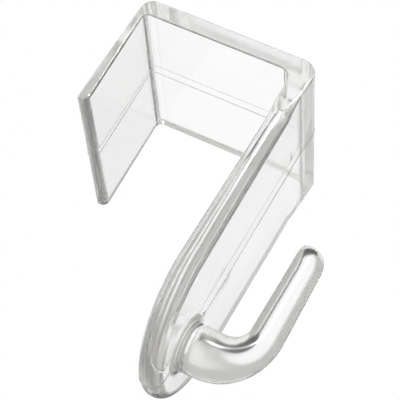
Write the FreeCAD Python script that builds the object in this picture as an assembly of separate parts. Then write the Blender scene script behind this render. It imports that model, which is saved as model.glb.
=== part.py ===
import FreeCAD, Part
import os
from math import cos, pi, sin, tan

# Clear moulded over-rail hook, in millimetres, in one piece.
# It hangs as used: +Z is up, the hook side faces -Y, and the part is symmetric about X = 0.
# The origin is the middle of the flat ceiling of the channel, where the hook sits on its rail.

# Saddle: the channel that drops over the rail
channel_width = 25.25
ceiling_thickness = 2.9
saddle_width = 30.2
back_leg_length = 18.4
back_leg_root_thickness = 1.17
back_leg_end_thickness = 1.9
back_leg_grip = 0.4
back_corner_radius = 2.2
back_inner_radius = 1.0
front_corner_radius = 2.8
front_inner_radius = 1.9
front_corner_lean = 0.45
back_end_outer_radius = 0.5
back_end_land = 0.25
edge_radius = 0.35
sharp_radius = 0.03

# Tongue: the front leg below the saddle, with full-round edges and a round end
tongue_root_thickness = 3.23
tongue_end_thickness = 3.9
tongue_end_radius = 14.85
tongue_drop = 49.45
full_round_flat = 0.03
run_out_start = 3.4
run_out_length = 4.1
outer_run_out_power = 1.4
inner_run_out_power = 3.0

# Hook: a round rod that leaves the front face and turns up, parallel to the tongue
hook_axis_drop = 41.0
hook_reach = 3.7
hook_bend_radius = 6.28
hook_upright_length = 12.6
hook_root_radius = 3.9
hook_bend_end_radius = 2.62
hook_tip_radius = 2.38
hook_taper_start = 2.5
hook_root_fillet = 1.3
hook_tip_height = 3.75
hook_tip_flat = 0.17
hook_tip_squareness = 6.0

# How finely the curved laws are sampled, and how smoothly the bend joins its rings
run_out_sections = 5
bend_sections = 6
tip_sections = 7
bend_degree = 3

# Places that follow from the sizes
half_channel = channel_width / 2
back_end_inner_radius = back_leg_end_thickness - back_end_outer_radius - back_end_land
half_saddle = saddle_width / 2
front_face_y = -half_channel - tongue_root_thickness
back_face_y = half_channel + back_leg_root_thickness
run_out_end = run_out_start + run_out_length
end_centre_drop = tongue_drop - tongue_end_radius
hook_axis_y = front_face_y - hook_reach - hook_bend_radius
upright_foot_z = -hook_axis_drop + hook_bend_radius
tip_foot_z = upright_foot_z + hook_upright_length


def vector(x, y, z):
    return FreeCAD.Vector(x, y, z)


def rounded_outline(corners, plane_point):
    """Closed wire through corners (a, b, radius), each corner turned by an arc of that radius."""
    count = len(corners)
    edges = []
    turns = []
    for index in range(count):
        a, b, radius = corners[index]
        here = FreeCAD.Vector(a, b, 0)
        before = FreeCAD.Vector(corners[index - 1][0], corners[index - 1][1], 0)
        after = FreeCAD.Vector(corners[(index + 1) % count][0], corners[(index + 1) % count][1], 0)
        towards_before = (before - here).normalize()
        towards_after = (after - here).normalize()
        half_angle = towards_before.getAngle(towards_after) / 2
        setback = radius / tan(half_angle)
        middle = (towards_before + towards_after).normalize()
        start = here + towards_before * setback
        end = here + towards_after * setback
        centre = here + middle * (radius / sin(half_angle))
        turns.append((start, centre - middle * radius, end))
    for index in range(count):
        start, crown, end = turns[index]
        following = turns[(index + 1) % count][0]
        place = [plane_point(point.x, point.y) for point in (start, crown, end, following)]
        edges.append(Part.Arc(place[0], place[1], place[2]).toShape())
        edges.append(Part.LineSegment(place[2], place[3]).toShape())
    return Part.Wire(edges)


def make_saddle():
    """Back leg, ceiling and the top of the front leg: one bent section with softened side edges."""
    top = ceiling_thickness
    back_end = -back_leg_length
    # The section runs on below the run-out's start and is cut off there, so no end edge is rounded.
    # Its front face leans out towards the top and meets the tongue's face at that cut.
    foot = -run_out_start - ceiling_thickness
    foot_lean = front_corner_lean * ceiling_thickness / (ceiling_thickness + run_out_start)
    inner_end_y = half_channel - back_leg_grip
    outer_end_y = inner_end_y + back_leg_end_thickness
    corners = [
        (outer_end_y, back_end, back_end_outer_radius),
        (back_face_y, top, back_corner_radius),
        (front_face_y - front_corner_lean, top, front_corner_radius),
        (front_face_y + foot_lean, foot, sharp_radius),
        (-half_channel, foot, sharp_radius),
        (-half_channel, 0, front_inner_radius),
        (half_channel, 0, back_inner_radius),
        (inner_end_y, back_end, back_end_inner_radius),
    ]
    section = rounded_outline(corners, lambda y, z: vector(-half_saddle, y, z))
    body = Part.Face(section).extrude(vector(saddle_width, 0, 0))
    above_foot = foot + ceiling_thickness / 2
    sides = []
    for edge in body.Edges:
        box = edge.BoundBox
        on_side = box.XLength < edge_radius
        if on_side and box.ZMax > above_foot:
            sides.append(edge)
    body = body.makeFillet(edge_radius, sides)
    waste = Part.makeBox(saddle_width * 2, tongue_root_thickness * 2, ceiling_thickness * 2)
    waste.translate(vector(-saddle_width, front_face_y - tongue_root_thickness / 2,
                           -run_out_start - ceiling_thickness * 2))
    return body.cut(waste)


def tongue_thickness(drop):
    """The inner face leans in all the way down to the round end."""
    share = (drop - run_out_start) / (end_centre_drop - run_out_start)
    return tongue_root_thickness + (tongue_end_thickness - tongue_root_thickness) * share


def tongue_half_width(drop):
    """The sides draw in slightly from the saddle to the round end."""
    share = (drop - run_out_start) / (end_centre_drop - run_out_start)
    return half_saddle + (tongue_end_radius - half_saddle) * share


def tongue_edge_radius(drop, power):
    """The edge rounding grows from the saddle's edge to a full round, later with a higher power."""
    full = tongue_thickness(drop) / 2 - full_round_flat
    share = min(1.0, (drop - run_out_start) / run_out_length)
    return edge_radius + (full - edge_radius) * share ** power


def tongue_section(drop):
    thickness = tongue_thickness(drop)
    half_width = tongue_half_width(drop)
    outer = tongue_edge_radius(drop, outer_run_out_power)
    inner = tongue_edge_radius(drop, inner_run_out_power)
    corners = [
        (-half_width, front_face_y, outer),
        (half_width, front_face_y, outer),
        (half_width, front_face_y + thickness, inner),
        (-half_width, front_face_y + thickness, inner),
    ]
    return rounded_outline(corners, lambda x, y: vector(x, y, -drop))


def make_run_out():
    """The saddle's flat sides run out as the edges become round, the outer edge before the inner."""
    drops = [run_out_start + run_out_length * step / run_out_sections
             for step in range(run_out_sections + 1)]
    return Part.makeLoft([tongue_section(drop) for drop in drops], True, False)


def make_tongue():
    """Straight from the end of the run-out to the round end, a little thicker and narrower below."""
    ends = [tongue_section(run_out_end), tongue_section(end_centre_drop)]
    return Part.makeLoft(ends, True, True)


def make_round_end():
    """Half turn of the tongue's section about the centre of its end."""
    thickness = tongue_end_thickness
    radius = thickness / 2 - full_round_flat
    back_y = front_face_y + thickness
    rim = tongue_end_radius
    quarter = radius * (1 - cos(pi / 4))
    height = -end_centre_drop
    points = [
        vector(0, front_face_y, height),
        vector(rim - radius, front_face_y, height),
        vector(rim - quarter, front_face_y + quarter, height),
        vector(rim, front_face_y + radius, height),
        vector(rim, back_y - radius, height),
        vector(rim - quarter, back_y - quarter, height),
        vector(rim - radius, back_y, height),
        vector(0, back_y, height),
    ]
    section = Part.Wire([
        Part.LineSegment(points[0], points[1]).toShape(),
        Part.Arc(points[1], points[2], points[3]).toShape(),
        Part.LineSegment(points[3], points[4]).toShape(),
        Part.Arc(points[4], points[5], points[6]).toShape(),
        Part.LineSegment(points[6], points[7]).toShape(),
        Part.LineSegment(points[7], points[0]).toShape(),
    ])
    return Part.Face(section).revolve(points[0], vector(0, 1, 0), 180)


def make_hook_root():
    """Turned about the rod's axis: a foot flared tangent to the front face, then a plain collar."""
    flare = hook_root_radius + hook_root_fillet
    lean = hook_root_fillet * (1 - cos(pi / 4))
    inside_y = front_face_y + tongue_end_thickness / 2
    collar_y = front_face_y - hook_taper_start
    axis_z = -hook_axis_drop
    points = [
        vector(0, inside_y, axis_z),
        vector(0, inside_y, axis_z + flare),
        vector(0, front_face_y, axis_z + flare),
        vector(0, front_face_y - lean, axis_z + hook_root_radius + lean),
        vector(0, front_face_y - hook_root_fillet, axis_z + hook_root_radius),
        vector(0, collar_y, axis_z + hook_root_radius),
        vector(0, collar_y, axis_z),
    ]
    section = Part.Wire([
        Part.LineSegment(points[0], points[1]).toShape(),
        Part.LineSegment(points[1], points[2]).toShape(),
        Part.Arc(points[2], points[3], points[4]).toShape(),
        Part.LineSegment(points[4], points[5]).toShape(),
        Part.LineSegment(points[5], points[6]).toShape(),
        Part.LineSegment(points[6], points[0]).toShape(),
    ])
    return Part.Face(section).revolve(points[0], vector(0, 1, 0), 360)


def bend_station(travel):
    """Point and direction on the rod's centre line, this far along it from the tongue's face."""
    angle = max(0.0, travel - hook_reach) / hook_bend_radius
    straight = min(travel, hook_reach)
    y = front_face_y - straight - hook_bend_radius * sin(angle)
    z = -hook_axis_drop + hook_bend_radius * (1 - cos(angle))
    return vector(0, y, z), vector(0, -cos(angle), sin(angle))


def make_hook_bend():
    """Circles set square to the centre line, drawn in smoothly from the collar to the upright."""
    bend_length = hook_bend_radius * pi / 2
    span = hook_reach + bend_length - hook_taper_start
    travels = [hook_taper_start, (hook_taper_start + hook_reach) / 2]
    travels += [hook_reach + bend_length * step / bend_sections for step in range(bend_sections + 1)]
    rings = []
    for travel in travels:
        point, direction = bend_station(travel)
        eased = (1 - cos(pi * (travel - hook_taper_start) / span)) / 2
        radius = hook_root_radius + (hook_bend_end_radius - hook_root_radius) * eased
        ring = Part.Circle(point, direction, radius)
        ring.XAxis = direction.cross(vector(1, 0, 0))
        rings.append(Part.Wire([ring.toShape()]))
    return Part.makeLoft(rings, True, False, False, bend_degree)


def make_hook_upright():
    """The straight part, tapering slightly towards the tip."""
    return Part.makeCone(hook_bend_end_radius, hook_tip_radius, hook_upright_length,
                         vector(0, hook_axis_y, upright_foot_z), vector(0, 0, 1))


def make_hook_tip():
    """Rings drawn in to a blunt dome, squarer towards the tongue and rounder on the outside."""
    rings = []
    for step in range(tip_sections + 1):
        turn = (pi / 2 - hook_tip_flat) * step / tip_sections
        rise = sin(turn)
        outer = hook_tip_radius * cos(turn)
        inner = hook_tip_radius * (1 - rise ** hook_tip_squareness) ** (1 / hook_tip_squareness)
        centre = vector(0, hook_axis_y + (inner - outer) / 2, tip_foot_z + hook_tip_height * rise)
        ring = Part.Circle(centre, vector(0, 0, 1), (inner + outer) / 2)
        rings.append(Part.Wire([ring.toShape()]))
    return Part.makeLoft(rings, True, False)


def make_hook():
    return make_saddle().fuse([
        make_run_out(), make_tongue(), make_round_end(),
        make_hook_root(), make_hook_bend(), make_hook_upright(), make_hook_tip(),
    ])


os.makedirs("parts", exist_ok=True)
hook = make_hook()
hook.exportStep("parts/hook.step")
print("solids", len(hook.Solids), "valid", hook.isValid(), "faces", len(hook.Faces))
print("volume", round(hook.Volume, 1), "box", hook.BoundBox)
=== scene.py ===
# %% [markdown]
# # A clear curtain hook
# The object is one moulding in clear plastic: a square saddle that drops over a rail, a long
# tongue with round edges, and a rod that springs from the tongue and turns up.
# The CAD part gives its form. This script gives it what a mould leaves on such a part, and
# a studio in which clear plastic shows its edges.

# %% Start
from math import cos, degrees, radians, tan
import bpy
from mathutils import Matrix, Vector


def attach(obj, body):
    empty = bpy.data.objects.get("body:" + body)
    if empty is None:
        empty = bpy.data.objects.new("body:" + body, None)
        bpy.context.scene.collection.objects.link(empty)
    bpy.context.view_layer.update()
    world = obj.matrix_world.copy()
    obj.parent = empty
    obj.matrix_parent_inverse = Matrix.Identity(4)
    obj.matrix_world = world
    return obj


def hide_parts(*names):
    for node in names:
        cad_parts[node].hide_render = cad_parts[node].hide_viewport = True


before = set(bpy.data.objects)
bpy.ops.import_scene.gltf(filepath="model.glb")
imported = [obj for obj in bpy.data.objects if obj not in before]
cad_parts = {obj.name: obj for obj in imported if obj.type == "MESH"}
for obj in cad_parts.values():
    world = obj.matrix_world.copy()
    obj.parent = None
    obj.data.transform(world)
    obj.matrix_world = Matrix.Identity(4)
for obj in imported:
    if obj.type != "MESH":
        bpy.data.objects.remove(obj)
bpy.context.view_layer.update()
cad_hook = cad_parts["hook"]
MM = 0.001
print("the CAD hook has", len(cad_hook.data.polygons), "triangles")

# %% [markdown]
# ## Small helpers
# Colours are written as sRGB hex values, as a paint chart gives them, and Blender's shaders
# want linear light. One function turns them. Another adds a node with its settings and links,
# so that a material reads as a short list of nodes.

# %% Colour and nodes


def linear(hex_value):
    """An sRGB hex colour such as 'f2f4f5' as linear red, green, blue and alpha."""
    curved = []
    for start in (0, 2, 4):
        part = int(hex_value[start:start + 2], 16) / 255
        curved.append(part / 12.92 if part <= 0.04045 else ((part + 0.055) / 1.055) ** 2.4)
    return (*curved, 1.0)


def add_node(tree, kind, settings=None, inputs=None):
    """A node of that kind. Settings are its properties, inputs are values or sockets to link."""
    node = tree.nodes.new(kind)
    for name, value in (settings or {}).items():
        setattr(node, name, value)
    for name, value in (inputs or {}).items():
        if isinstance(value, bpy.types.NodeSocket):
            tree.links.new(value, node.inputs[name])
        else:
            node.inputs[name].default_value = value
    return node


def new_material(name):
    """An empty material, ready for its own nodes."""
    material = bpy.data.materials.new(name)
    material.use_nodes = True
    material.node_tree.nodes.clear()
    return material


def pick_only(piece):
    """Makes this piece the only selected one, and the active one."""
    bpy.ops.object.select_all(action="DESELECT")
    piece.select_set(True)
    bpy.context.view_layer.objects.active = piece


WHITE = linear("ffffff")
print("white is", WHITE)

# %% [markdown]
# ## The moulding
# The real hook is shot in one piece, and the CAD part has its form already, so the piece in the
# picture starts from it. The CAD node is loose triangles, one patch per face. A copy of it is
# merged, so that light passes from patch to patch without a seam. The copy stands for the node.

# %% Copy and merge the hook
MERGE_DISTANCE = 0.002 * MM
hook = cad_hook.copy()
hook.data = cad_hook.data.copy()
hook.name = "clear_hook"
hook.data.name = "clear_hook"
bpy.context.scene.collection.objects.link(hook)
pick_only(hook)
bpy.ops.object.mode_set(mode="EDIT")
bpy.ops.mesh.select_all(action="SELECT")
bpy.ops.mesh.remove_doubles(threshold=MERGE_DISTANCE)
bpy.ops.mesh.customdata_custom_splitnormals_clear()
bpy.ops.object.mode_set(mode="OBJECT")
print("merged:", len(hook.data.vertices), "vertices,", len(hook.data.polygons), "triangles")

# %% [markdown]
# ## The parting line
# The two halves of the mould meet in the middle of the hook's width. Where they meet, a fine
# ridge of plastic runs all round, and in clear plastic it shows twice, on the near and on the
# far surface of each wall. Three cuts across the mesh mark its foot and its crest, and the
# crest is then lifted along the surface's normals.

# %% Cut and lift the parting line
RIDGE_HALF_WIDTH = 0.12 * MM
RIDGE_HEIGHT = 0.07 * MM
bpy.ops.object.mode_set(mode="EDIT")
for cut_place in (-RIDGE_HALF_WIDTH, 0, RIDGE_HALF_WIDTH):
    bpy.ops.mesh.select_all(action="SELECT")
    bpy.ops.mesh.bisect(plane_co=(cut_place, 0, 0), plane_no=(1, 0, 0))
bpy.ops.mesh.select_all(action="DESELECT")
bpy.ops.object.mode_set(mode="OBJECT")
for vertex in hook.data.vertices:
    vertex.select = abs(vertex.co.x) < RIDGE_HALF_WIDTH / 4
bpy.ops.object.mode_set(mode="EDIT")
bpy.ops.mesh.select_mode(type="VERT")
bpy.ops.transform.shrink_fatten(value=RIDGE_HEIGHT)
bpy.ops.mesh.select_all(action="DESELECT")
bpy.ops.object.mode_set(mode="OBJECT")
print("parting line cut:", len(hook.data.polygons), "faces")

# %% [markdown]
# ## A finer rod
# The rod is the roundest thing on the hook, and clear plastic shows every facet at its outline.
# The edges of its triangles are cut in three, and the new corners are pushed out onto the
# round form. The flat walls are left as they are: a flat face gains nothing from more corners.

# %% Cut the rod's triangles finer
ROD_START = -17.5 * MM
ROD_CUTS = 2
for vertex in hook.data.vertices:
    vertex.select = vertex.co.y < ROD_START
bpy.ops.object.mode_set(mode="EDIT")
bpy.ops.mesh.subdivide(number_cuts=ROD_CUTS, smoothness=1.0)
bpy.ops.mesh.select_all(action="DESELECT")
bpy.ops.object.mode_set(mode="OBJECT")
print("rod refined:", len(hook.data.polygons), "faces")

# %% [markdown]
# ## Smooth shading
# Flat faces must stay flat, or clear plastic bends the picture behind them. Normals weighted
# by face area let the big flat faces rule over the narrow roundings beside them.

# %% Weighted normals
SHARP_ANGLE = radians(35)
AREA_WEIGHT = 50
pick_only(hook)
bpy.ops.object.shade_smooth_by_angle(angle=SHARP_ANGLE)
modifier = hook.modifiers.new("weighted", "WEIGHTED_NORMAL")
modifier.keep_sharp = True
modifier.mode = "FACE_AREA"
modifier.weight = AREA_WEIGHT
bpy.ops.object.modifier_apply(modifier=modifier.name)
print("shaded smooth below", round(degrees(SHARP_ANGLE)), "degrees")

# %% [markdown]
# ## Clear polycarbonate
# A clear, hard plastic shot into a polished mould. It bends light like heavy glass, with an
# IOR of 1.585. Three things keep it from looking like a perfect lens: the steel's polish leaves
# faint waves a few millimetres long, the skin is a little less glossy in some places than in
# others, and a speck of dust is caught in the skin here and there. The round cavity of the rod
# is the hardest to polish, so the rod has a softer gloss than the flat walls. The small share
# of light that doesn't pass straight through is what the faint haze in the plastic scatters.
# To the eye that makes walls that nearly vanish, and edges and a rod that gleam.

# %% Clear polycarbonate, moulded in a polished tool
PLASTIC_IOR = 1.585
CLEAR_SHARE = 0.965
WAVE_LENGTH = 5 * MM
WAVE_DEPTH = 0.003 * MM
plastic = new_material("clear polycarbonate, polished mould")
tree = plastic.node_tree
place = add_node(tree, "ShaderNodeTexCoord")
waves = add_node(tree, "ShaderNodeTexNoise", inputs={
    "Vector": place.outputs["Object"], "Scale": 1 / WAVE_LENGTH, "Detail": 1.0, "Roughness": 0.4})
bump = add_node(tree, "ShaderNodeBump", inputs={
    "Height": waves.outputs["Fac"], "Distance": WAVE_DEPTH, "Strength": 1.0})
print("waves", WAVE_LENGTH / MM, "mm long")

# %% Gloss of the walls and of the rod
GLOSS_PATCH = 9 * MM
WALL_ROUGHNESS = (0.06, 0.1)
ROD_ROUGHNESS = 0.2
ROD_SKIN_START = -16.2 * MM
ROD_SKIN_FULL = -18.5 * MM
patches = add_node(tree, "ShaderNodeTexNoise", inputs={
    "Vector": place.outputs["Object"], "Scale": 1 / GLOSS_PATCH, "Detail": 2.0})
gloss = add_node(tree, "ShaderNodeMapRange", inputs={
    "Value": patches.outputs["Fac"], "From Min": 0.3, "From Max": 0.7,
    "To Min": WALL_ROUGHNESS[0], "To Max": WALL_ROUGHNESS[1]})
spot = add_node(tree, "ShaderNodeSeparateXYZ", inputs={0: place.outputs["Object"]})
on_rod = add_node(tree, "ShaderNodeMapRange", {"interpolation_type": "SMOOTHSTEP"}, {
    "Value": spot.outputs["Y"], "From Min": ROD_SKIN_START, "From Max": ROD_SKIN_FULL})
skin = add_node(tree, "ShaderNodeMix", {"data_type": "FLOAT"}, {
    0: on_rod.outputs["Result"], 2: gloss.outputs["Result"], 3: ROD_ROUGHNESS})
print("roughness", WALL_ROUGHNESS, "on the walls and", ROD_ROUGHNESS, "on the rod")

# %% [markdown]
# A Voronoi texture scatters points through space, here one to each few millimetres. Where a
# point lies close enough to the surface, the skin turns grey round it, and that is a speck.

# %% Specks of dust in the skin
SPECK_SPACING = 4.5 * MM
SPECK_RADIUS = 0.12 * MM
specks = add_node(tree, "ShaderNodeTexVoronoi", inputs={
    "Vector": place.outputs["Object"], "Scale": 1 / SPECK_SPACING})
clean = add_node(tree, "ShaderNodeMapRange", inputs={
    "Value": specks.outputs["Distance"], "From Min": SPECK_RADIUS / SPECK_SPACING / 2,
    "From Max": SPECK_RADIUS / SPECK_SPACING})
colour = add_node(tree, "ShaderNodeMix", {"data_type": "RGBA"}, {
    "Factor": clean.outputs["Result"], 6: linear("6f6d68"), 7: WHITE})
surface = add_node(tree, "ShaderNodeBsdfPrincipled", inputs={
    "Base Color": colour.outputs[2], "Roughness": skin.outputs[0], "IOR": PLASTIC_IOR,
    "Transmission Weight": CLEAR_SHARE, "Normal": bump.outputs["Normal"]})
add_node(tree, "ShaderNodeOutputMaterial", inputs={"Surface": surface.outputs["BSDF"]})
hook.data.materials.clear()
hook.data.materials.append(plastic)
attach(hook, "root")
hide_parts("hook")
print("material:", plastic.name)

# %% [markdown]
# ## The camera
# The photo looks up at the hook from its side, from below and in front, through a long lens.
# The camera's place, its right and its up were worked out from the hook's straight edges.
# It comes before the studio, because a clear thing shows its surroundings, and those are set
# out from the camera's view.

# %% Camera
CAMERA_PLACE = Vector((-225.73, -82.31, -136.26)) * MM
CAMERA_RIGHT = Vector((0.0505, -0.8798, 0.4726)).normalized()
CAMERA_FORWARD = Vector((0.8487, 0.2873, 0.4440)).normalized()
CAMERA_UP = CAMERA_RIGHT.cross(CAMERA_FORWARD).normalized()
CAMERA_LENS = 156.24
SENSOR_WIDTH = 36
NEAREST_SEEN = 0.01
camera_data = bpy.data.cameras.new("camera")
camera_data.lens = CAMERA_LENS
camera_data.sensor_width = SENSOR_WIDTH
camera_data.clip_start = NEAREST_SEEN
camera = bpy.data.objects.new("camera", camera_data)
bpy.context.scene.collection.objects.link(camera)
turn = Matrix((CAMERA_RIGHT, CAMERA_UP, -CAMERA_FORWARD)).transposed()
camera.matrix_world = Matrix.Translation(CAMERA_PLACE) @ turn.to_4x4()
bpy.context.scene.camera = camera
print("camera at", [round(value, 4) for value in CAMERA_PLACE])


def aim(right, up):
    """The direction this many degrees to the right of the camera's view and above it."""
    across = CAMERA_RIGHT * tan(radians(right))
    upwards = CAMERA_UP * tan(radians(up))
    return (CAMERA_FORWARD + across + upwards).normalized()


# %% [markdown]
# ## The studio
# Clear plastic has no colour of its own: what it shows is the room around it, bent. The hook
# stands in front of a white backdrop in a light grey room. Flat walls look straight through to
# the backdrop and stay bright, while the rod and the round edges also bend in the grey room,
# and that is what draws them. The floor is a big board painted matt white, far enough below
# the hook to stay plain.

# %% Floor
FLOOR_DROP = 0.17
FLOOR_SIZE = 4.0
bpy.ops.object.select_all(action="DESELECT")
bpy.ops.mesh.primitive_plane_add(size=FLOOR_SIZE, location=(0, 0, -FLOOR_DROP))
floor = bpy.context.object
floor.name = "floor"
floor_paint = new_material("matt white floor")
floor_tree = floor_paint.node_tree
floor_surface = add_node(floor_tree, "ShaderNodeBsdfDiffuse", inputs={
    "Color": linear("f0f0ee")})
add_node(floor_tree, "ShaderNodeOutputMaterial", inputs={
    "Surface": floor_surface.outputs["BSDF"]})
floor.data.materials.append(floor_paint)
print("floor", FLOOR_DROP, "m below the rail")

# %% [markdown]
# The room is the world. What is seen directly, in a reflection or through the plastic is the
# backdrop: white within some degrees of its middle, and light grey beyond its soft edge. What
# lights the scene is an even white at full strength, so a colour renders as it is written.

# %% World
BACKDROP_MIDDLE = aim(8, -4)
BACKDROP_WHITE = radians(19)
BACKDROP_EDGE = radians(30)
ROOM_GREY = linear("b8b7b4")
world = bpy.data.worlds.new("studio")
bpy.context.scene.world = world
world.use_nodes = True
sky = world.node_tree
sky.nodes.clear()
outwards = add_node(sky, "ShaderNodeTexCoord")
nearness = add_node(sky, "ShaderNodeVectorMath", {"operation": "DOT_PRODUCT"}, {
    0: outwards.outputs["Generated"], 1: BACKDROP_MIDDLE})
white_share = add_node(sky, "ShaderNodeMapRange", {"interpolation_type": "SMOOTHSTEP"}, {
    "Value": nearness.outputs["Value"],
    "From Min": cos(BACKDROP_EDGE), "From Max": cos(BACKDROP_WHITE)})
room_colour = add_node(sky, "ShaderNodeMix", {"data_type": "RGBA"}, {
    "Factor": white_share.outputs["Result"], 6: ROOM_GREY, 7: WHITE})
path = add_node(sky, "ShaderNodeLightPath")
straight = add_node(sky, "ShaderNodeMath", {"operation": "MAXIMUM"}, {
    0: path.outputs["Is Camera Ray"], 1: path.outputs["Is Glossy Ray"]})
seen = add_node(sky, "ShaderNodeMath", {"operation": "MAXIMUM"}, {
    0: straight.outputs["Value"], 1: path.outputs["Is Transmission Ray"]})
light = add_node(sky, "ShaderNodeBackground", inputs={"Color": WHITE, "Strength": 1.0})
room = add_node(sky, "ShaderNodeBackground", inputs={
    "Color": room_colour.outputs[2], "Strength": 1.0})
mixed = add_node(sky, "ShaderNodeMixShader", inputs={
    0: seen.outputs["Value"], 1: light.outputs["Background"], 2: room.outputs["Background"]})
add_node(sky, "ShaderNodeOutputWorld", inputs={"Surface": mixed.outputs["Shader"]})
print("white out to", round(degrees(BACKDROP_WHITE)), "degrees from the backdrop's middle")

# %% [markdown]
# Photographers give clear things an outline with black cards that stand outside the picture.
# The plastic bends them into view. A wide one stands low behind the hook, and gives the dark
# cap on the rod's tip and the dark line along its inner side. A narrow one stands to the right,
# and draws the dark streaks in the tongue's round edge. Each is a plane. Its corners are placed
# by their directions from the hook's middle, measured from the way the camera looks.

# %% Black cards behind the hook
HOOK_MIDDLE = Vector((0, -7, -23)) * MM
CARD_DISTANCE = 0.6
card_paint = new_material("matt black card")
card_tree = card_paint.node_tree
card_surface = add_node(card_tree, "ShaderNodeBsdfDiffuse", inputs={
    "Color": linear("1c1c1b")})
add_node(card_tree, "ShaderNodeOutputMaterial", inputs={
    "Surface": card_surface.outputs["BSDF"]})


def black_card(name, left, right, bottom, top):
    """A card between these angles, in degrees to the right of the camera's view and above it."""
    bpy.ops.object.select_all(action="DESELECT")
    bpy.ops.mesh.primitive_plane_add(size=1)
    card = bpy.context.object
    card.name = name
    corners = ((left, bottom), (right, bottom), (left, top), (right, top))
    for vertex, (across, up) in zip(card.data.vertices, corners):
        vertex.co = HOOK_MIDDLE + aim(across, up) * CARD_DISTANCE
    card.data.materials.append(card_paint)
    card.visible_camera = False
    card.visible_diffuse = False
    card.visible_shadow = False
    print(name, right - left, "by", top - bottom, "degrees")


black_card("low_card", left=-30, right=26, bottom=-45, top=-20)
black_card("right_card", left=22, right=27, bottom=-25, top=25)

# %% [markdown]
# One small soft lamp stands on the camera's side of the hook, high above the camera. It leaves
# the bright streak that follows the rod's bend.

# %% Small soft lamp
LAMP_DIRECTION = Vector((-0.85, 0.05, 0.5)).normalized()
LAMP_DISTANCE = 0.7
LAMP_SIZE = 0.08
LAMP_POWER = 1.5
lamp_data = bpy.data.lights.new("soft_lamp", "AREA")
lamp_data.shape = "RECTANGLE"
lamp_data.size = LAMP_SIZE
lamp_data.size_y = LAMP_SIZE
lamp_data.energy = LAMP_POWER
lamp = bpy.data.objects.new("soft_lamp", lamp_data)
bpy.context.scene.collection.objects.link(lamp)
lamp_turn = LAMP_DIRECTION.to_track_quat("Z", "Y").to_matrix().to_4x4()
lamp_place = HOOK_MIDDLE + LAMP_DIRECTION * LAMP_DISTANCE
lamp.matrix_world = Matrix.Translation(lamp_place) @ lamp_turn
print("lamp", LAMP_DISTANCE, "m away")

# %% [markdown]
# ## The look
# Light bounces many times inside clear plastic before it leaves. With too few bounces allowed,
# those paths end in black, so the limits are raised. A few paths meet the small lamp through
# the rod's soft gloss and would leave bright dots, so the light that one path may bring is
# capped.

# %% Look and light paths
BOUNCES = 32
PATH_LIGHT_LIMIT = 3.0
bpy.context.scene.view_settings.view_transform = "Standard"
cycles = bpy.context.scene.cycles
cycles.max_bounces = BOUNCES
cycles.transmission_bounces = BOUNCES
cycles.glossy_bounces = BOUNCES
cycles.sample_clamp_indirect = PATH_LIGHT_LIMIT
print("light paths of up to", BOUNCES, "bounces")
